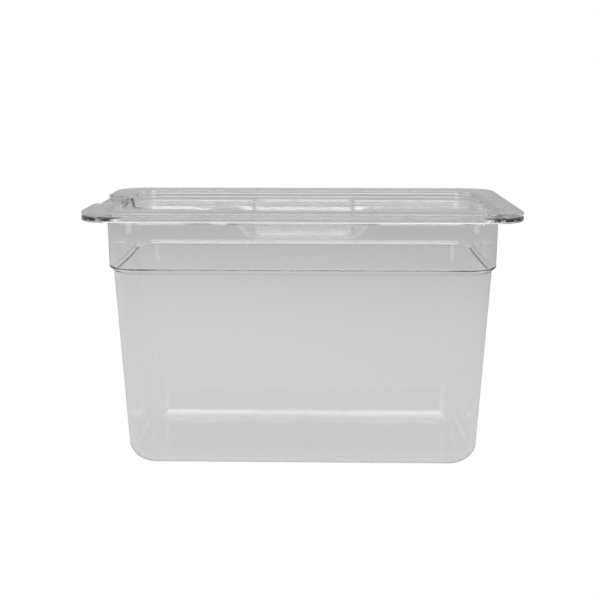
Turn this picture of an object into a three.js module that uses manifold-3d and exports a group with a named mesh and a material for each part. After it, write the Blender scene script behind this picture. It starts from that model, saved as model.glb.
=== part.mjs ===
// Clear gastronorm food pan, one-third size and 200 mm deep, with its notched lid.
// Millimetres, +Z up. The origin is the centre of the pan's base, on its underside.
// +X runs along the long side, and the lid's ladle notch opens towards -X.

import * as THREE from "three";
import { ParametricGeometry } from "three/addons/geometries/ParametricGeometry.js";
import { mergeVertices } from "three/addons/utils/BufferGeometryUtils.js";
import Module from "manifold-3d";

// Pan
const LENGTH = 325; // gastronorm 1/3, across the rim
const WIDTH = 176;
const DEPTH = 200; // base underside to rim top
const WALL = 3; // pan wall and rim thickness
const FLOOR = 3.5; // pan floor thickness
const RIM_CORNER = 22; // plan radius of the rim's corners
const WALL_CORNER = 24; // plan radius of the outer wall's corners
const RIM_OVERHANG = 15.5; // rim edge to outer wall
const BEAD_HEIGHT = 4; // turned-down bead along the rim's edge
const BEAD_WIDTH = 2.6;
const SHOULDER_TOP = 158.3; // height where the upper wall meets the stacking shoulder
const SHOULDER_DROP = 3.2;
const SHOULDER_STEP = 2.7; // how far the shoulder steps in
const UPPER_DRAFT = 0.2; // inward lean of the upper wall, rim to shoulder
const LOWER_DRAFT = 6.7; // inward lean of the lower wall, shoulder to base
const SHOULDER_BEND = 1.5; // radius at both turns of the shoulder
const BASE_EDGE = 16; // outer radius between wall and base

// Lid
const LID_GAP = 0.3; // clearance where the lid rests on the rim
const LID_WALL = 2.5;
const PANEL_DROP = 9; // lid rim top down to the recessed panel
const STEP_CLEARANCE = 0.8; // lid step to the pan's inner wall
const STEP_DRAFT = 0.7; // inward lean of the lid's step

// Handle well in the middle of the lid, at panel level
const WELL_HALF_LENGTH = 57.5;
const WELL_HALF_WIDTH = 28.6;
const WELL_DEPTH = 28; // lid rim top down to the underside of the well
const WELL_END_LEAN = 14; // inward lean of its two ends
const WELL_SIDE_LEAN = 4; // inward lean of its two long sides
const WELL_CORNER = 12; // plan radius of its corners

// Grip bar that stands in the well with a finger pocket along each side, sizes at its top
const GRIP_HALF_LENGTH = 40.5;
const GRIP_HALF_WIDTH = 8.5;
const GRIP_RISE = 1.5; // grip top above the lid's rim
const GRIP_SLOPE = 0.06; // how far its sides and ends run out for each unit down
const GRIP_CORNER = 8; // plan radius of its corners
const GRIP_BEND = 4; // radius along its top edges

// Ladle notch, cut through one short side of the lid
const NOTCH_HALF_WIDTH = 25.5;
const NOTCH_REACH = 91.5; // lid edge to the notch's round end
const NOTCH_MOUTH = 7; // radius where the notch meets the lid's edge

const TIGHT_BEND = 1; // radius on thin edges
const SOFT_BEND = 3; // radius where walls turn
const CORNER_STEPS = 7; // facets in a quarter turn of a plan corner
const BEND_STEPS = 4; // facets in a bend of a profile
const SAME_POINT = 1e-4;
const CUT_MARGIN = 20; // how far a cutter stands clear of what it cuts

const LID_UNDERSIDE = DEPTH + LID_GAP;
const LID_TOP = LID_UNDERSIDE + LID_WALL;
const PANEL_TOP = LID_TOP - PANEL_DROP;
const WELL_BOTTOM = LID_TOP - WELL_DEPTH;
const GRIP_TOP = LID_TOP + GRIP_RISE;

const CLEAR_PLASTIC = { color: 0xd9dcdd, roughness: 0.12, metalness: 0, transparent: true, opacity: 0.4 };

const wasm = await Module();
wasm.setup();

// One turn of a wall profile: inset from the outline, height, plan corner radius, bend radius
function turn(inset, z, plan, bend = 0) {
  return { inset, z, plan, bend };
}

// The end of a profile, at the middle of the plan
function middle(z) {
  return { inset: WIDTH, z, plan: 0, bend: 0, closed: true };
}

function between(a, b, share) {
  return {
    inset: THREE.MathUtils.lerp(a.inset, b.inset, share),
    z: THREE.MathUtils.lerp(a.z, b.z, share),
    plan: THREE.MathUtils.lerp(a.plan, b.plan, share),
  };
}

// The stations of one bend: an arc tangent to both neighbours, in place of the sharp turn b
function bendStations(a, b, c) {
  const toA = new THREE.Vector2(a.inset - b.inset, a.z - b.z);
  const toC = new THREE.Vector2(c.inset - b.inset, c.z - b.z);
  const lengthA = toA.length();
  const lengthC = toC.length();
  toA.normalize();
  toC.normalize();
  const halfAngle = Math.acos(toA.dot(toC)) / 2;
  const reach = b.bend / Math.tan(halfAngle);
  const start = between(b, a, reach / lengthA);
  const end = between(b, c, reach / lengthC);
  const centre = toA.add(toC).setLength(b.bend / Math.sin(halfAngle));
  centre.add(new THREE.Vector2(b.inset, b.z));
  const from = Math.atan2(start.z - centre.y, start.inset - centre.x);
  let sweep = Math.atan2(end.z - centre.y, end.inset - centre.x) - from;
  sweep -= 2 * Math.PI * Math.round(sweep / (2 * Math.PI));
  return Array.from({ length: BEND_STEPS + 1 }, (_, i) => {
    const angle = from + (sweep * i) / BEND_STEPS;
    const inset = centre.x + b.bend * Math.cos(angle);
    const share = (inset - start.inset) / (end.inset - start.inset);
    return {
      inset,
      z: centre.y + b.bend * Math.sin(angle),
      plan: THREE.MathUtils.lerp(start.plan, end.plan, share),
    };
  });
}

function stationsOf(profile) {
  return profile.flatMap((b, i) => (b.bend ? bendStations(profile[i - 1], b, profile[i + 1]) : [b]));
}

// A profile carried round a rounded rectangle, as on a lathe whose four quarters are moved apart.
// sideShare scales the inset on the long sides, so that ends and sides can lean differently.
function rectangularLathe(halfLength, halfWidth, profile, sideShare = 1) {
  const stations = stationsOf(profile);
  const around = 4 * (CORNER_STEPS + 1);
  const along = stations.length - 1;
  function surface(u, v, target) {
    const station = stations[Math.round(v * along)];
    if (station.closed) {
      target.set(0, 0, station.z);
      return;
    }
    const index = Math.round(u * around) % around;
    const quarter = Math.floor(index / (CORNER_STEPS + 1));
    const step = index % (CORNER_STEPS + 1);
    const angle = ((quarter + step / CORNER_STEPS) * Math.PI) / 2;
    const sideX = quarter === 0 || quarter === 3 ? 1 : -1;
    const sideY = quarter < 2 ? 1 : -1;
    const centreX = halfLength - station.inset - station.plan;
    const centreY = halfWidth - station.inset * sideShare - station.plan;
    target.set(
      sideX * centreX + station.plan * Math.cos(angle),
      sideY * centreY + station.plan * Math.sin(angle),
      station.z,
    );
  }
  return new ParametricGeometry(surface, around, along);
}

// The manifold-3d solid of a closed three.js geometry
function solidOf(geometry) {
  geometry.deleteAttribute("normal");
  geometry.deleteAttribute("uv");
  const merged = mergeVertices(geometry, SAME_POINT);
  return new wasm.Manifold(
    new wasm.Mesh({
      numProp: 3,
      vertProperties: merged.attributes.position.array,
      triVerts: new Uint32Array(merged.index.array),
    }),
  );
}

function geometryOf(solid) {
  const { vertProperties, triVerts } = solid.getMesh();
  const geometry = new THREE.BufferGeometry();
  geometry.setAttribute("position", new THREE.BufferAttribute(vertProperties, 3));
  geometry.setIndex(new THREE.BufferAttribute(triVerts, 1));
  geometry.computeVertexNormals();
  return geometry;
}

function named(name, solid) {
  const mesh = new THREE.Mesh(geometryOf(solid), new THREE.MeshStandardMaterial(CLEAR_PLASTIC));
  mesh.name = name;
  return mesh;
}

// The pan's profile runs out under the base, up the outer skin, over the rim and down the inner skin
function panSolid() {
  const upper = RIM_OVERHANG + UPPER_DRAFT;
  const lower = upper + SHOULDER_STEP;
  const base = lower + LOWER_DRAFT;
  const shoulderBottom = SHOULDER_TOP - SHOULDER_DROP;
  const rimUnderside = DEPTH - WALL;
  const innerCorner = WALL_CORNER - WALL;
  const innerEdge = BASE_EDGE - WALL;
  const innerRise = WALL / 3; // the inner shoulder sits higher, so that the sloping wall keeps its thickness
  const profile = [
    middle(0),
    turn(base + BASE_EDGE, 0, WALL_CORNER - BASE_EDGE),
    turn(base, 0, WALL_CORNER, BASE_EDGE),
    turn(lower, shoulderBottom, WALL_CORNER, SHOULDER_BEND),
    turn(upper, SHOULDER_TOP, WALL_CORNER, SHOULDER_BEND),
    turn(RIM_OVERHANG, rimUnderside, WALL_CORNER, TIGHT_BEND),
    turn(BEAD_WIDTH, rimUnderside, RIM_CORNER - BEAD_WIDTH),
    turn(BEAD_WIDTH, DEPTH - BEAD_HEIGHT, RIM_CORNER - BEAD_WIDTH),
    turn(0, DEPTH - BEAD_HEIGHT, RIM_CORNER, TIGHT_BEND),
    turn(0, DEPTH, RIM_CORNER, TIGHT_BEND),
    turn(RIM_OVERHANG + WALL, DEPTH, innerCorner, TIGHT_BEND),
    turn(upper + WALL, SHOULDER_TOP + innerRise, innerCorner, SHOULDER_BEND),
    turn(lower + WALL, shoulderBottom + innerRise, innerCorner, SHOULDER_BEND),
    turn(base + WALL, FLOOR, innerCorner, innerEdge),
    turn(base + WALL + innerEdge, FLOOR, innerCorner - innerEdge),
    middle(FLOOR),
  ];
  return solidOf(rectangularLathe(LENGTH / 2, WIDTH / 2, profile));
}

// The lid without its handle or notch: rim, step down and recessed panel, of even thickness
function lidPlate() {
  const outerStep = RIM_OVERHANG + WALL + STEP_CLEARANCE;
  const innerStep = outerStep + LID_WALL;
  const outerCorner = WALL_CORNER - WALL - STEP_CLEARANCE;
  const innerCorner = outerCorner - LID_WALL;
  const profile = [
    middle(PANEL_TOP - LID_WALL),
    turn(outerStep + STEP_DRAFT, PANEL_TOP - LID_WALL, outerCorner, SOFT_BEND),
    turn(outerStep, LID_UNDERSIDE, outerCorner, TIGHT_BEND / 2),
    turn(0, LID_UNDERSIDE, RIM_CORNER, TIGHT_BEND),
    turn(0, LID_TOP, RIM_CORNER, TIGHT_BEND),
    turn(innerStep, LID_TOP, innerCorner, TIGHT_BEND),
    turn(innerStep + STEP_DRAFT, PANEL_TOP, innerCorner, TIGHT_BEND),
    middle(PANEL_TOP),
  ];
  return solidOf(rectangularLathe(LENGTH / 2, WIDTH / 2, profile));
}

// The handle well as a block, grown by spread on its sides and below, and carried up by rise
function wellBlock(spread, rise) {
  const endSpread = spread * Math.hypot(1, WELL_END_LEAN / (PANEL_TOP - WELL_BOTTOM - LID_WALL));
  const floor = WELL_BOTTOM + LID_WALL - spread;
  const plan = WELL_CORNER + spread;
  const profile = [
    middle(floor),
    turn(WELL_END_LEAN, floor, plan, SOFT_BEND + spread),
    turn(0, PANEL_TOP, plan),
    turn(0, PANEL_TOP + rise, plan),
    middle(PANEL_TOP + rise),
  ];
  const halfLength = WELL_HALF_LENGTH + endSpread;
  const halfWidth = WELL_HALF_WIDTH + spread;
  return solidOf(rectangularLathe(halfLength, halfWidth, profile, WELL_SIDE_LEAN / WELL_END_LEAN));
}

// The grip bar as a block, thinned by shrink above and on its sides, and carried down by drop
function gripBlock(shrink, drop) {
  const top = GRIP_TOP - shrink;
  const bottom = WELL_BOTTOM + LID_WALL / 2 - drop;
  const lean = GRIP_SLOPE * (top - bottom);
  const plan = GRIP_CORNER - shrink;
  const profile = [
    middle(bottom),
    turn(0, bottom, plan),
    turn(lean, top, plan, GRIP_BEND - shrink),
    middle(top),
  ];
  const halfLength = GRIP_HALF_LENGTH - shrink + lean;
  const halfWidth = GRIP_HALF_WIDTH - shrink + lean;
  return solidOf(rectangularLathe(halfLength, halfWidth, profile));
}

// A straight slot with a round inner end, and a mouth that rounds out into the lid's edge
function notchCutter() {
  const edge = -LENGTH / 2;
  const endCentre = edge + NOTCH_REACH - NOTCH_HALF_WIDTH;
  const mouth = edge + NOTCH_MOUTH;
  const mouthHalf = NOTCH_HALF_WIDTH + NOTCH_MOUTH;
  const outline = new THREE.Shape();
  outline.moveTo(edge - CUT_MARGIN, -mouthHalf);
  outline.lineTo(edge, -mouthHalf);
  outline.absarc(mouth, -mouthHalf, NOTCH_MOUTH, Math.PI, Math.PI / 2, true);
  outline.absarc(endCentre, 0, NOTCH_HALF_WIDTH, -Math.PI / 2, Math.PI / 2, false);
  outline.absarc(mouth, mouthHalf, NOTCH_MOUTH, -Math.PI / 2, -Math.PI, true);
  outline.lineTo(edge - CUT_MARGIN, mouthHalf);
  const depth = PANEL_DROP + 2 * CUT_MARGIN;
  const curveSegments = CORNER_STEPS;
  const slot = new THREE.ExtrudeGeometry(outline, { depth, bevelEnabled: false, curveSegments });
  slot.translate(0, 0, PANEL_TOP - CUT_MARGIN);
  return solidOf(slot);
}

// The lid is one moulding: the well hangs below the panel, and the hollow grip stands in the well
function lidSolid() {
  const fingerRoom = wellBlock(0, CUT_MARGIN);
  const grip = gripBlock(0, 0).intersect(wellBlock(LID_WALL / 2, CUT_MARGIN));
  const underGrip = gripBlock(LID_WALL, CUT_MARGIN);
  return lidPlate()
    .add(wellBlock(LID_WALL, 0))
    .subtract(fingerRoom)
    .add(grip)
    .subtract(underGrip)
    .subtract(notchCutter());
}

const foodPan = new THREE.Group();
foodPan.add(named("pan", panSolid()));
foodPan.add(named("notched_lid", lidSolid()));

export default foodPan;
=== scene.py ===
"""Clear gastronorm food pan with its notched lid: the finished surfaces, materials and studio."""

import math

import bmesh
import bpy
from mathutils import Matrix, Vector
from mathutils.geometry import delaunay_2d_cdt
from mathutils.kdtree import KDTree


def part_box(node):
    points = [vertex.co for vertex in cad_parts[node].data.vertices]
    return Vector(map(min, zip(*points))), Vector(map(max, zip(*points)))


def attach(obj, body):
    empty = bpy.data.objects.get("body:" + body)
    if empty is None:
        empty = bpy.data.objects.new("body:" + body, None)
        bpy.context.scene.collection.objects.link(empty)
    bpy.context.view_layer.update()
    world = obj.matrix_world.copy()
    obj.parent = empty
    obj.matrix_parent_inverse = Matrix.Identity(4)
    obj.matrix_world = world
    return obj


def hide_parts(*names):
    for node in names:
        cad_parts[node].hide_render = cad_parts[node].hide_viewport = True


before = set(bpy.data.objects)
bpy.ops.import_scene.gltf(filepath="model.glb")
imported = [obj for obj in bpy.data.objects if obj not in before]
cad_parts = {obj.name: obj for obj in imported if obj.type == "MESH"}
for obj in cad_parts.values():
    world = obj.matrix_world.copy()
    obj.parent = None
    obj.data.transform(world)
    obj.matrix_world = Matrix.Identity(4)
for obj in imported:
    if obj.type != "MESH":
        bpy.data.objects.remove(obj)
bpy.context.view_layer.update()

MM = 0.001

# Sizes from the frame
PAN_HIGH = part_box("pan")[1]
LID_LOW, LID_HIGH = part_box("notched_lid")
HALF_LENGTH = PAN_HIGH.x
HALF_WIDTH = PAN_HIGH.y
RIM_TOP = PAN_HIGH.z
GRIP_TOP = LID_HIGH.z
WELL_BOTTOM = LID_LOW.z

# Pan sections
WALL = 3 * MM
FLOOR = 3.5 * MM
RIM_CORNER = 22 * MM
WALL_CORNER = 24 * MM
RIM_OVERHANG = 15.5 * MM
BEAD_HEIGHT = 4 * MM
BEAD_WIDTH = 2.6 * MM
SHOULDER_TOP = 158.3 * MM
SHOULDER_DROP = 3.2 * MM
SHOULDER_STEP = 2.7 * MM
UPPER_DRAFT = 0.2 * MM
LOWER_DRAFT = 6.7 * MM
BASE_EDGE = 16 * MM
RIM_BEND = 1 * MM
RIM_EDGE = 1.5 * MM
SHOULDER_BEND = 1.5 * MM

# Lid sections
LID_GAP = 0.3 * MM
LID_WALL = 2.5 * MM
PANEL_DROP = 9 * MM
STEP_CLEARANCE = 0.8 * MM
STEP_DRAFT = 0.7 * MM
LIP = 1.1 * MM
STEP_TOP_BEND = 1.3 * LIP
STEP_FOOT_BEND = 1.5 * LIP
STEP_NECK_BEND = 0.8 * LIP
STEP_OUTER_BEND = 3.5 * LIP
LID_UNDER = RIM_TOP + LID_GAP
LID_TOP = LID_UNDER + LID_WALL
PANEL_TOP = LID_TOP - PANEL_DROP
STEP_INSET = RIM_OVERHANG + WALL + STEP_CLEARANCE
STEP_CORNER = WALL_CORNER - WALL - STEP_CLEARANCE

# Handle well and the grip bar that stands in it
WELL_HALF_LENGTH = 57.5 * MM
WELL_HALF_WIDTH = 28.6 * MM
WELL_END_LEAN = 14 * MM
WELL_SIDE_LEAN = 4 * MM
WELL_CORNER = 12 * MM
WELL_EDGE = 2 * MM
POCKET_BEND = 1 * MM
GRIP_HALF_LENGTH = 40.5 * MM
GRIP_HALF_WIDTH = 8.5 * MM
GRIP_SLOPE = 0.06
GRIP_CORNER = 8 * MM
GRIP_BEND = 3.6 * MM
GRIP_FOOT = 0.7 * MM

# Ladle notch
NOTCH_HALF_WIDTH = 25.5 * MM
NOTCH_REACH = 91.5 * MM
NOTCH_MOUTH = 7 * MM

# Mesh fineness
CORNER_STEPS = 20
LEAST_BEND_STEPS = 6
SAME_POINT = 0.002 * MM
CDT_ERROR = 1e-6
CDT_INSIDE_WITH_HOLES = 2


# ---------------------------------------------------------------- wall profiles

def turn(inset, z, plan=0.0, bend=0.0):
    """One turn of a wall profile: inset from the outline, height, plan corner radius, bend radius."""
    return {"inset": inset, "z": z, "plan": plan, "bend": bend}


def lerp(a, b, share):
    return a + (b - a) * share


def heading(a, b):
    return math.atan2(b["z"] - a["z"], b["inset"] - a["inset"])


def bend_steps(radius):
    return LEAST_BEND_STEPS + round(radius / MM)


def rounded(before, corner, after):
    """The arc in place of a turn, tangent to its two lines: (inset, z, plan, heading) at each station."""
    start_heading = heading(before, corner)
    sweep = heading(corner, after) - start_heading
    sweep -= 2 * math.pi * round(sweep / (2 * math.pi))
    side = math.copysign(1, sweep)
    bend = corner["bend"]
    reach = bend * math.tan(abs(sweep) / 2)
    length_before = math.hypot(corner["inset"] - before["inset"], corner["z"] - before["z"])
    length_after = math.hypot(after["inset"] - corner["inset"], after["z"] - corner["z"])
    plan_start = lerp(corner["plan"], before["plan"], reach / length_before)
    plan_end = lerp(corner["plan"], after["plan"], reach / length_after)
    start = (
        corner["inset"] - reach * math.cos(start_heading),
        corner["z"] - reach * math.sin(start_heading),
    )
    centre = (
        start[0] - side * bend * math.sin(start_heading),
        start[1] + side * bend * math.cos(start_heading),
    )
    end_heading = start_heading + sweep
    end_inset = centre[0] + side * bend * math.sin(end_heading)
    steps = bend_steps(bend)
    stations = []
    for i in range(steps + 1):
        way = start_heading + sweep * i / steps
        inset = centre[0] + side * bend * math.sin(way)
        z = centre[1] - side * bend * math.cos(way)
        share = (inset - start[0]) / (end_inset - start[0])
        stations.append((inset, z, lerp(plan_start, plan_end, share), way))
    return stations


def profile(turns):
    """Every station of a profile as (inset, z, plan, normal along the inset, normal up).

    The normals point to the left of the way the profile runs, with inset drawn to the right."""
    last = len(turns) - 1
    stations = []
    for i, corner in enumerate(turns):
        if corner["bend"] > 0:
            stations += rounded(turns[i - 1], corner, turns[i + 1])
            continue
        ways = []
        if i > 0:
            ways.append(heading(turns[i - 1], corner))
        if i < last:
            ways.append(heading(corner, turns[i + 1]))
        way = sum(ways) / len(ways)
        stations.append((corner["inset"], corner["z"], corner["plan"], way))
    return [(d, z, plan, -math.sin(way), math.cos(way)) for d, z, plan, way in stations]


# ---------------------------------------------------------------- surfaces

class Surface:
    """Points with their own smooth normals, and faces between them."""

    def __init__(self):
        self.places = []
        self.normals = []
        self.faces = []

    def point(self, place, normal):
        self.places.append(Vector(place))
        self.normals.append(Vector(normal).normalized())
        return len(self.places) - 1

    def row(self, points):
        return [self.point(place, normal) for place, normal in points]

    def strip(self, row_a, row_b, closed=False):
        """Quads between two rows of the same length."""
        count = len(row_a)
        for i in range(count if closed else count - 1):
            j = (i + 1) % count
            self.faces.append((row_a[i], row_a[j], row_b[j], row_b[i]))

    def fan(self, middle, row):
        count = len(row)
        for i in range(count):
            self.faces.append((middle, row[i], row[(i + 1) % count]))

    def flat(self, outline, hole, z, up):
        """A flat area inside an outline of (x, y) points, less the points of a hole."""
        places = [Vector((x, y)) / MM for x, y in outline + hole]
        outer = list(range(len(outline)))
        inner = list(range(len(outline), len(places)))
        loops = [outer, inner] if hole else [outer]
        made = delaunay_2d_cdt(places, [], loops, CDT_INSIDE_WITH_HOLES, CDT_ERROR)
        index = [self.point((p.x * MM, p.y * MM, z), (0, 0, up)) for p in made[0]]
        for face in made[2]:
            self.faces.append(tuple(index[i] for i in face))

    def object(self, name):
        """One closed, smooth mesh object."""
        mesh = bpy.data.meshes.new(name)
        mesh.from_pydata(self.places, [], self.faces)
        work = bmesh.new()
        work.from_mesh(mesh)
        bmesh.ops.remove_doubles(work, verts=work.verts, dist=SAME_POINT)
        bmesh.ops.dissolve_degenerate(work, edges=work.edges, dist=SAME_POINT / 2)
        bmesh.ops.recalc_face_normals(work, faces=work.faces)
        for face in work.faces:
            face.smooth = True
        work.to_mesh(mesh)
        work.free()
        tree = KDTree(len(self.places))
        for i, place in enumerate(self.places):
            tree.insert(place, i)
        tree.balance()
        normals = [self.normals[tree.find(vertex.co)[1]] for vertex in mesh.vertices]
        mesh.normals_split_custom_set_from_vertices(normals)
        made = bpy.data.objects.new(name, mesh)
        bpy.context.scene.collection.objects.link(made)
        return made


def quarter(centre_x, centre_y, radius, start, end, steps):
    """(x, y, direction x, direction y) round a plan arc, angles in degrees."""
    points = []
    for i in range(steps + 1):
        angle = math.radians(lerp(start, end, i / steps))
        along, across = math.cos(angle), math.sin(angle)
        points.append((centre_x + radius * along, centre_y + radius * across, along, across))
    return points


def rounded_rectangle(half_length, half_width, plan):
    """Its points, clockwise from the left side seen from above."""
    x = half_length - plan
    y = half_width - plan
    return (
        quarter(-x, y, plan, 180, 90, CORNER_STEPS)
        + quarter(x, y, plan, 90, 0, CORNER_STEPS)
        + quarter(x, -y, plan, 0, -90, CORNER_STEPS)
        + quarter(-x, -y, plan, -90, -180, CORNER_STEPS)
    )


def outline(inset, plan):
    """The pan's and the lid's shared outline, drawn in by an inset."""
    return rounded_rectangle(HALF_LENGTH - inset, HALF_WIDTH - inset, plan)


def stood(points, z, along, up):
    """Plan points lifted to z, with a normal that leans along the inset and up."""
    return [((x, y, z), (-along * nx, -along * ny, up)) for x, y, nx, ny in points]


# ---------------------------------------------------------------- pan

def pan_profile():
    """Out under the base, up the outer skin, over the rim and down the inner skin."""
    upper = RIM_OVERHANG + UPPER_DRAFT
    lower = upper + SHOULDER_STEP
    base = lower + LOWER_DRAFT
    shoulder_bottom = SHOULDER_TOP - SHOULDER_DROP
    rim_under = RIM_TOP - WALL
    bead_under = RIM_TOP - BEAD_HEIGHT
    inner_corner = WALL_CORNER - WALL
    inner_edge = BASE_EDGE - WALL
    inner_rise = WALL / 3
    bead_corner = RIM_CORNER - BEAD_WIDTH
    return [
        turn(base + BASE_EDGE, 0, WALL_CORNER - BASE_EDGE),
        turn(base, 0, WALL_CORNER, BASE_EDGE),
        turn(lower, shoulder_bottom, WALL_CORNER, SHOULDER_BEND),
        turn(upper, SHOULDER_TOP, WALL_CORNER, SHOULDER_BEND),
        turn(RIM_OVERHANG, rim_under, WALL_CORNER, RIM_BEND),
        turn(BEAD_WIDTH, rim_under, bead_corner, RIM_BEND / 3),
        turn(BEAD_WIDTH - RIM_BEND / 5, bead_under, bead_corner, RIM_BEND / 2),
        turn(0, bead_under, RIM_CORNER, RIM_BEND),
        turn(0, RIM_TOP, RIM_CORNER, RIM_EDGE),
        turn(RIM_OVERHANG + WALL, RIM_TOP, inner_corner, RIM_BEND),
        turn(upper + WALL, SHOULDER_TOP + inner_rise, inner_corner, SHOULDER_BEND),
        turn(lower + WALL, shoulder_bottom + inner_rise, inner_corner, SHOULDER_BEND),
        turn(base + WALL, FLOOR, inner_corner, inner_edge),
        turn(base + WALL + inner_edge, FLOOR, inner_corner - inner_edge),
    ]


def make_pan():
    surface = Surface()
    rows = []
    for inset, z, plan, along, up in profile(pan_profile()):
        rows.append(surface.row(stood(outline(inset, plan), z, along, up)))
    for row_a, row_b in zip(rows, rows[1:]):
        surface.strip(row_a, row_b, closed=True)
    surface.fan(surface.point((0, 0, 0), (0, 0, -1)), rows[0])
    surface.fan(surface.point((0, 0, FLOOR), (0, 0, 1)), rows[-1])
    return surface.object("pan_moulding")


# ---------------------------------------------------------------- lid

def lid_profiles():
    """The top and bottom sheets of the lid, from the rim in over the step to the panel."""
    inner = STEP_INSET + LID_WALL
    far = STEP_INSET + STEP_CORNER
    panel_under = PANEL_TOP - LID_WALL
    top = profile([
        turn(0, LID_TOP),
        turn(inner, LID_TOP, bend=STEP_TOP_BEND),
        turn(inner + STEP_DRAFT, PANEL_TOP, bend=STEP_FOOT_BEND),
        turn(far, PANEL_TOP),
    ])
    bottom = profile([
        turn(0, LID_UNDER),
        turn(STEP_INSET, LID_UNDER, bend=STEP_NECK_BEND),
        turn(STEP_INSET + STEP_DRAFT, panel_under, bend=STEP_OUTER_BEND),
        turn(far, panel_under),
    ])
    return top, bottom


def sample(stations, inset):
    """(z, normal along, normal up) of a sheet at an inset."""
    for a, b in zip(stations, stations[1:]):
        if a[0] <= inset <= b[0]:
            share = (inset - a[0]) / (b[0] - a[0])
            along, up = lerp(a[3], b[3], share), lerp(a[4], b[4], share)
            length = math.hypot(along, up)
            return lerp(a[1], b[1], share), along / length, up / length
    raise ValueError("the inset is outside the sheet")


def step_insets(top, bottom):
    """Every inset at which either sheet has a station of a bend, none closer than a hair."""
    found = sorted([s[0] for s in top[1:-1]] + [s[0] for s in bottom[1:-1]])
    kept = found[:1]
    for inset in found[1:]:
        if inset - kept[-1] > LIP / 50:
            kept.append(inset)
    return kept


def step_row(inset):
    """One ring of the step, open at the notch."""
    x = -HALF_LENGTH + inset
    y = NOTCH_HALF_WIDTH + LIP
    ring = outline(inset, STEP_INSET + STEP_CORNER - inset)
    return [(x, y, -1, 0)] + ring + [(x, -y, -1, 0)]


def lid_edge(insets):
    """The lid's whole edge, clockwise seen from above: (x, y, outward x, outward y, inset at the notch).

    It goes round the rim, in along the notch, round its end and out again."""
    mouth = -HALF_LENGTH + NOTCH_MOUTH
    end = -HALF_LENGTH + NOTCH_REACH - NOTCH_HALF_WIDTH
    mouth_y = NOTCH_HALF_WIDTH + NOTCH_MOUTH
    y = NOTCH_HALF_WIDTH
    rim = [p + (0.0,) for p in outline(0, RIM_CORNER)]
    lower_mouth = [p + (0.0,) for p in quarter(mouth, -mouth_y, NOTCH_MOUTH, 180, 90, CORNER_STEPS // 2)]
    upper_mouth = [p + (0.0,) for p in quarter(mouth, mouth_y, NOTCH_MOUTH, -90, -180, CORNER_STEPS // 2)]
    side = [(-HALF_LENGTH + inset, inset) for inset in insets]
    lower_side = [(x, -y, 0, 1, inset) for x, inset in side]
    upper_side = [(x, y, 0, -1, inset) for x, inset in reversed(side)]
    round_end = [
        (x, y_, -nx, -ny, NOTCH_REACH)
        for x, y_, nx, ny in quarter(end, 0, NOTCH_HALF_WIDTH, -90, 90, 2 * CORNER_STEPS)
    ]
    return rim, lower_mouth, lower_side, round_end, upper_side, upper_mouth


def well_profile(half, lean, depth):
    """The well's wall from the panel in and down to its floor, for the sheet at a depth in the wall.

    Here and in grip_profile an inset is a distance from the handle's middle, negated."""
    slope = lean / (PANEL_TOP - WELL_BOTTOM - LID_WALL)
    panel = PANEL_TOP - depth
    floor = WELL_BOTTOM + LID_WALL - depth
    plan = WELL_CORNER + depth
    edge = half + depth * (math.hypot(1, slope) - slope)
    foot = edge - lean
    return profile([
        turn(-edge - WELL_CORNER, panel, plan + WELL_CORNER),
        turn(-edge, panel, plan, WELL_EDGE),
        turn(-foot, floor, plan, POCKET_BEND + depth),
        turn(-foot + WELL_CORNER, floor, plan),
    ])[1:-1]


def grip_profile(half, depth):
    """The grip's wall from the well's floor in and up to its top."""
    floor = WELL_BOTTOM + LID_WALL - depth
    top = GRIP_TOP - depth
    plan = GRIP_CORNER - depth
    edge = half - depth
    foot = edge + GRIP_SLOPE * (top - floor)
    return profile([
        turn(-foot - GRIP_CORNER, floor, plan + GRIP_CORNER),
        turn(-foot, floor, plan, GRIP_FOOT),
        turn(-edge, top, plan, GRIP_BEND - depth),
        turn(-edge + plan, top),
    ])[1:-1]


def handle_rings(ends, sides, up):
    """Rings of (point, normal) that follow one profile on the handle's ends and another on its sides."""
    rings = []
    for end, side in zip(ends, sides):
        ring = []
        for x, y, nx, ny in rounded_rectangle(-end[0], -side[0], end[2]):
            z, along, rise = (lerp(end[i], side[i], ny * ny) for i in (1, 3, 4))
            ring.append(((x, y, z), (-up * along * nx, -up * along * ny, up * rise)))
        rings.append(ring)
    return rings


def add_handle(surface, depth, up):
    """One sheet of the handle; returns the (x, y) points where it leaves the panel."""
    well = handle_rings(
        well_profile(WELL_HALF_LENGTH, WELL_END_LEAN, depth),
        well_profile(WELL_HALF_WIDTH, WELL_SIDE_LEAN, depth),
        up,
    )
    grip = handle_rings(grip_profile(GRIP_HALF_LENGTH, depth), grip_profile(GRIP_HALF_WIDTH, depth), up)
    for rings in (well, grip):
        rows = [surface.row(ring) for ring in rings]
        for row_a, row_b in zip(rows, rows[1:]):
            surface.strip(row_a, row_b, closed=True)

    def seen_from_above(ring):
        return [place[:2] for place, _ in ring]

    surface.flat(seen_from_above(well[-1]), seen_from_above(grip[0]), WELL_BOTTOM + LID_WALL - depth, up)
    surface.flat(seen_from_above(grip[-1]), [], GRIP_TOP - depth, up)
    return seen_from_above(well[0])


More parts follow.
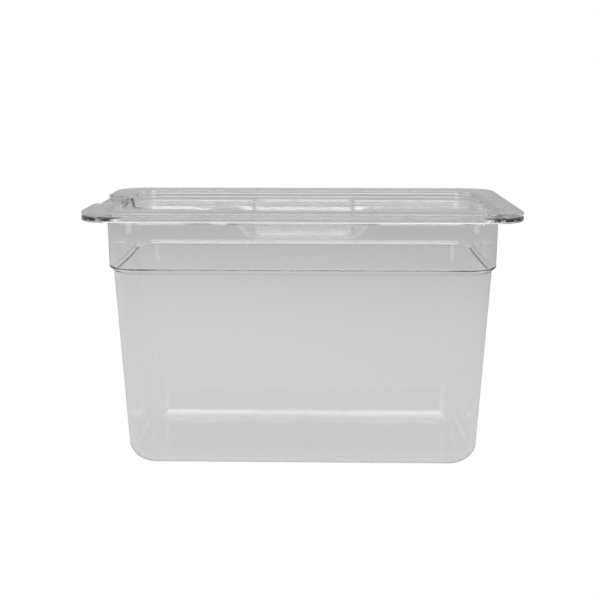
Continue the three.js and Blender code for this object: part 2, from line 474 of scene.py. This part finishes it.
def lid_lip(surface, edge, top, bottom):
    """Rounds the lid's edge from the top sheet over to the bottom sheet."""
    rows = []
    steps = bend_steps(LIP)
    turns = [(top, i / steps) for i in range(steps + 1)]
    turns += [(bottom, 1 - i / steps) for i in range(steps + 1)]
    for sheet, share in turns:
        angle = share * math.pi / 2
        sunk, out = LIP * (1 - math.cos(angle)), LIP * (1 - math.sin(angle))
        side = 1 if sheet is top else -1
        row = []
        for x, y, nx, ny, inset in edge:
            z, along, up = sample(sheet, min(inset, sheet[-1][0]))
            normal = Vector((side * along, 0, side * up))
            outward = Vector((nx, ny, 0))
            place = Vector((x, y, z)) - outward * out - normal * sunk
            row.append((place, normal * math.cos(angle) + outward * math.sin(angle)))
        rows.append(surface.row(row))
    for row_a, row_b in zip(rows, rows[1:]):
        surface.strip(row_a, row_b, closed=True)


def make_lid():
    surface = Surface()
    top, bottom = lid_profiles()
    insets = step_insets(top, bottom)
    rim, lower_mouth, lower_side, round_end, upper_side, upper_mouth = lid_edge(insets)
    edge = rim + lower_mouth[1:] + lower_side + round_end + upper_side + upper_mouth[:-1]
    lid_lip(surface, edge, top, bottom)

    def drawn_in(points):
        return [(x - LIP * nx, y - LIP * ny) for x, y, nx, ny, _ in points]

    first_row, last_row = step_row(insets[0]), step_row(insets[-1])
    rim_area = drawn_in(upper_side[-1:] + upper_mouth[:-1] + rim + lower_mouth[1:] + lower_side[:1])
    rim_area += [(x, y) for x, y, _, _ in reversed(first_row[1:-1])]
    panel_area = [(x, y) for x, y, _, _ in last_row[1:-1]]
    panel_area += drawn_in(lower_side[-1:] + round_end + upper_side[:1])
    for stations, depth, side in ((top, 0, 1), (bottom, LID_WALL, -1)):
        rows = []
        for inset in insets:
            z, along, up = sample(stations, inset)
            rows.append(surface.row(stood(step_row(inset), z, side * along, side * up)))
        for row_a, row_b in zip(rows, rows[1:]):
            surface.strip(row_a, row_b)
        well_edge = add_handle(surface, depth, side)
        surface.flat(rim_area, [], stations[0][1], side)
        surface.flat(panel_area, well_edge, stations[-1][1], side)
    return surface.object("lid_moulding")


# ---------------------------------------------------------------- node helpers

def put(tree, kind, values=None, **settings):
    """A new node with its settings and its inputs; an input takes a value or another node's socket."""
    made = tree.nodes.new(kind)
    for key, value in settings.items():
        setattr(made, key, value)
    for key, value in (values or {}).items():
        if isinstance(value, bpy.types.NodeSocket):
            tree.links.new(value, made.inputs[key])
        else:
            made.inputs[key].default_value = value
    return made


def math_node(tree, operation, *values):
    return put(tree, "ShaderNodeMath", dict(enumerate(values)), operation=operation).outputs[0]


def span(tree, value, low, high, to_low, to_high):
    """A value carried smoothly from one range to another, held at the ends."""
    values = {"Value": value, 1: low, 2: high, 3: to_low, 4: to_high}
    made = put(tree, "ShaderNodeMapRange", values, interpolation_type="SMOOTHSTEP")
    return made.outputs["Result"]


def noise(tree, place, scale, detail, roughness=0.5):
    values = {"Vector": place, "Scale": scale, "Detail": detail, "Roughness": roughness}
    return put(tree, "ShaderNodeTexNoise", values).outputs["Fac"]


# ---------------------------------------------------------------- materials

TINT = (0.98, 0.98, 0.98, 1)
SHADOW_TINT = (0.9, 0.9, 0.9, 1)
ABSORPTION = 2  # density of the plastic's own absorption, for each metre of it
IOR = 1.585  # polycarbonate
WAVE_SCALE = 14
HAZE_SCALE = 45
SCRATCH_SCALE = (900, 60, 240)  # drawn out along the short side and, less so, upwards
SCRATCH_FROM, SCRATCH_TO = 0.62, 0.72
PATCHY_FROM, PATCHY_TO, PATCHY_LEAST = 0.35, 0.65, 0.2
SMOOTH = 0.002
HAZE_ROUGHNESS = 0.01
SCRATCH_ROUGHNESS = 0.02
WORN_ROUGHNESS = 0.12
SCRATCH_RELIEF = 0.004
RELIEF = 0.04 * MM
PAN_WORN_LOW, PAN_WORN_HIGH = 1 * MM, 9 * MM
PAN_SEED = 0.0
LID_SEED = 3.7


def clear_plastic(name, worn_low, worn_high, seed):
    """Clear moulded plastic: faint flow waves, fine handling scratches, and a duller worn zone between
    two heights."""
    material = bpy.data.materials.new(name)
    material.use_nodes = True
    tree = material.node_tree
    tree.nodes.clear()
    place = put(tree, "ShaderNodeTexCoord").outputs["Object"]
    moved = put(tree, "ShaderNodeVectorMath", {0: place, 1: (seed, seed, seed)}, operation="ADD")
    place = moved.outputs["Vector"]
    height = put(tree, "ShaderNodeSeparateXYZ", {0: put(tree, "ShaderNodeTexCoord").outputs["Object"]})
    height = height.outputs["Z"]

    waves = noise(tree, place, WAVE_SCALE, 1)
    stretched = put(tree, "ShaderNodeMapping", {"Vector": place, "Scale": SCRATCH_SCALE})
    scratches = noise(tree, stretched.outputs["Vector"], 1, 3, 0.6)
    scratches = span(tree, scratches, SCRATCH_FROM, SCRATCH_TO, 0.0, 1.0)
    haze = noise(tree, place, HAZE_SCALE, 4, 0.6)
    worn = span(tree, height, worn_low, worn_high, 1.0, 0.0)
    patchy = span(tree, haze, PATCHY_FROM, PATCHY_TO, PATCHY_LEAST, 1.0)
    worn = math_node(tree, "MULTIPLY", worn, patchy)

    rough = math_node(tree, "MULTIPLY_ADD", haze, HAZE_ROUGHNESS, SMOOTH)
    rough = math_node(tree, "MULTIPLY_ADD", scratches, SCRATCH_ROUGHNESS, rough)
    rough = math_node(tree, "MULTIPLY_ADD", worn, WORN_ROUGHNESS, rough)
    relief = math_node(tree, "MULTIPLY_ADD", scratches, SCRATCH_RELIEF, waves)
    bump = put(tree, "ShaderNodeBump", {"Strength": 1.0, "Distance": RELIEF, "Height": relief})

    shader = put(tree, "ShaderNodeBsdfPrincipled", {
        "Base Color": TINT,
        "Transmission Weight": 1.0,
        "IOR": IOR,
        "Roughness": rough,
        "Normal": bump.outputs["Normal"],
    })
    light_path = put(tree, "ShaderNodeLightPath")
    see_through = put(tree, "ShaderNodeBsdfTransparent", {"Color": SHADOW_TINT})
    mixed = put(tree, "ShaderNodeMixShader", {
        "Fac": light_path.outputs["Is Shadow Ray"],
        1: shader.outputs["BSDF"],
        2: see_through.outputs["BSDF"],
    })
    depth = put(tree, "ShaderNodeVolumeAbsorption", {"Color": (0, 0, 0, 1), "Density": ABSORPTION})
    put(tree, "ShaderNodeOutputMaterial", {
        "Surface": mixed.outputs["Shader"],
        "Volume": depth.outputs["Volume"],
    })
    return material


# ---------------------------------------------------------------- studio

FLOOR_REACH = 6.0
FLOOR_SINK = 0.5 * MM
PALE = 1.0  # floor and backdrop as the camera sees them
FAR_GREY = 0.46  # both of them at the horizon, as the plastic sees them
# painted light on the glowing floor: a soft pool of light round the pan, seen by everything but the
# camera
PAINTED_POOL_LIGHT = 0.65
POOL_SHIFT = 0.25  # the pool of light lies to the left of the pan
POOL_FROM, POOL_TO = 0.25, 1.5
# painted light on the glowing floor: a brighter strip towards the front
FRONT_FROM, FRONT_TO = -0.35, -0.1
FRONT_PAINTED_LIGHT = 0.04
SKY_GREY = 0.55
SKY_RISE = 0.4
SIDE_FROM, SIDE_TO = 0.3, 0.95
SIDE_RISE = 0.3
SIDE_EXTRA = 0.15
LIGHT_AIM = (0, 0, 0.12)
FRONT_LIGHT_X, FRONT_LIGHT_Y, FRONT_LIGHT_Z = 0.6, -0.82, 0.45
FRONT_LIGHT_SIZE = (0.4, 0.9)
SOFTBOXES = [
    ("overhead", (0, -0.25, 1.3), (1.2, 0.7), 7),
    ("front_left", (-FRONT_LIGHT_X, FRONT_LIGHT_Y, FRONT_LIGHT_Z), FRONT_LIGHT_SIZE, 1.3),
    ("front_right", (FRONT_LIGHT_X, FRONT_LIGHT_Y, FRONT_LIGHT_Z), FRONT_LIGHT_SIZE, 1.0),
]
BOUNCES = 64  # light is trapped between the skins of a clear wall for many bounces


def floor_material():
    """A pale floor that glows: even to the camera, and to everything seen through it a painted pool of
    soft grey light, with a painted brighter strip towards the front.
    """
    material = bpy.data.materials.new("studio_floor")
    material.use_nodes = True
    tree = material.node_tree
    tree.nodes.clear()
    place = put(tree, "ShaderNodeTexCoord").outputs["Object"]
    front_to_back = put(tree, "ShaderNodeSeparateXYZ", {0: place}).outputs["Y"]
    # painted pool of light, fading to grey far off, plus a painted brighter strip at the front
    from_pool = put(tree, "ShaderNodeVectorMath", {0: place, 1: (POOL_SHIFT, 0, 0)}, operation="ADD")
    away = put(tree, "ShaderNodeVectorMath", {0: from_pool.outputs["Vector"]}, operation="LENGTH")
    pool = span(tree, away.outputs["Value"], POOL_FROM, POOL_TO, PAINTED_POOL_LIGHT, FAR_GREY)
    front = span(tree, front_to_back, FRONT_FROM, FRONT_TO, FRONT_PAINTED_LIGHT, 0.0)
    pool = math_node(tree, "ADD", pool, front)
    camera_ray = put(tree, "ShaderNodeLightPath").outputs["Is Camera Ray"]
    strength = put(tree, "ShaderNodeMix", {0: camera_ray, 2: pool, 3: PALE}).outputs[0]
    glow = put(tree, "ShaderNodeEmission", {"Color": (1, 1, 1, 1), "Strength": strength})
    put(tree, "ShaderNodeOutputMaterial", {"Surface": glow.outputs["Emission"]})
    return material


def make_floor():
    reach = FLOOR_REACH
    mesh = bpy.data.meshes.new("studio_floor")
    corners = [(-reach, -reach, 0), (reach, -reach, 0), (reach, reach, 0), (-reach, reach, 0)]
    mesh.from_pydata(corners, [], [(0, 1, 2, 3)])
    mesh.materials.append(floor_material())
    floor = bpy.data.objects.new("studio_floor", mesh)
    floor.location.z = -FLOOR_SINK
    bpy.context.scene.collection.objects.link(floor)


def make_world():
    world = bpy.data.worlds.new("studio")
    bpy.context.scene.world = world
    world.use_nodes = True
    tree = world.node_tree
    tree.nodes.clear()
    way = put(tree, "ShaderNodeTexCoord").outputs["Generated"]
    parts = put(tree, "ShaderNodeSeparateXYZ", {0: way}).outputs
    sky = span(tree, parts["Z"], 0.0, SKY_RISE, FAR_GREY, SKY_GREY)
    side = span(tree, math_node(tree, "ABSOLUTE", parts["X"]), SIDE_FROM, SIDE_TO, 0.0, SIDE_EXTRA)
    side = math_node(tree, "MULTIPLY", side, span(tree, parts["Z"], 0.0, SIDE_RISE, 0.0, 1.0))
    sky = math_node(tree, "ADD", sky, side)
    camera_ray = put(tree, "ShaderNodeLightPath").outputs["Is Camera Ray"]
    strength = put(tree, "ShaderNodeMix", {0: camera_ray, 2: sky, 3: PALE}).outputs[0]
    back = put(tree, "ShaderNodeBackground", {"Color": (1, 1, 1, 1), "Strength": strength})
    put(tree, "ShaderNodeOutputWorld", {"Surface": back.outputs["Background"]})


def softbox(name, place, aim, size, power):
    """A rectangular area light turned to face a point, unseen by the camera."""
    data = bpy.data.lights.new(name, "AREA")
    data.shape = "RECTANGLE"
    data.size, data.size_y = size
    data.energy = power
    light = bpy.data.objects.new(name, data)
    light.location = place
    light.rotation_euler = (Vector(aim) - Vector(place)).to_track_quat("-Z", "Y").to_euler()
    light.visible_camera = False
    bpy.context.scene.collection.objects.link(light)


def make_lights():
    for name, place, size, power in SOFTBOXES:
        softbox(name, place, LIGHT_AIM, size, power)


def make_studio():
    make_world()
    make_floor()
    make_lights()
    scene = bpy.context.scene
    scene.view_settings.view_transform = "Standard"
    cycles = scene.cycles
    cycles.max_bounces = BOUNCES
    cycles.transmission_bounces = BOUNCES
    cycles.glossy_bounces = BOUNCES
    cycles.transparent_max_bounces = BOUNCES


# ---------------------------------------------------------------- camera

CAMERA_SPAN = 812 * MM
CAMERA_SHIFT = 14.2 * MM
CAMERA_RISE = 96.9 * MM
CAMERA_TILT = math.radians(12.43)
CAMERA_TURN = 0.0208
LENS = 61.16
SENSOR = 36


def make_camera():
    data = bpy.data.cameras.new("camera")
    data.lens = LENS
    data.sensor_width = SENSOR
    camera = bpy.data.objects.new("camera", data)
    bpy.context.scene.collection.objects.link(camera)
    camera.location = (CAMERA_SHIFT, -CAMERA_SPAN, LID_TOP + CAMERA_RISE)
    camera.rotation_euler = (math.pi / 2 - CAMERA_TILT, 0, CAMERA_TURN)
    bpy.context.scene.camera = camera


# ---------------------------------------------------------------- scene

pan = make_pan()
pan.data.materials.append(clear_plastic("pan_clear_plastic", PAN_WORN_LOW, PAN_WORN_HIGH, PAN_SEED))
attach(pan, "pan")
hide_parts("pan")

lid = make_lid()
lid.data.materials.append(clear_plastic("lid_clear_plastic", LID_UNDER - LIP, LID_TOP, LID_SEED))
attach(lid, "lid")
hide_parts("notched_lid")

make_studio()
make_camera()
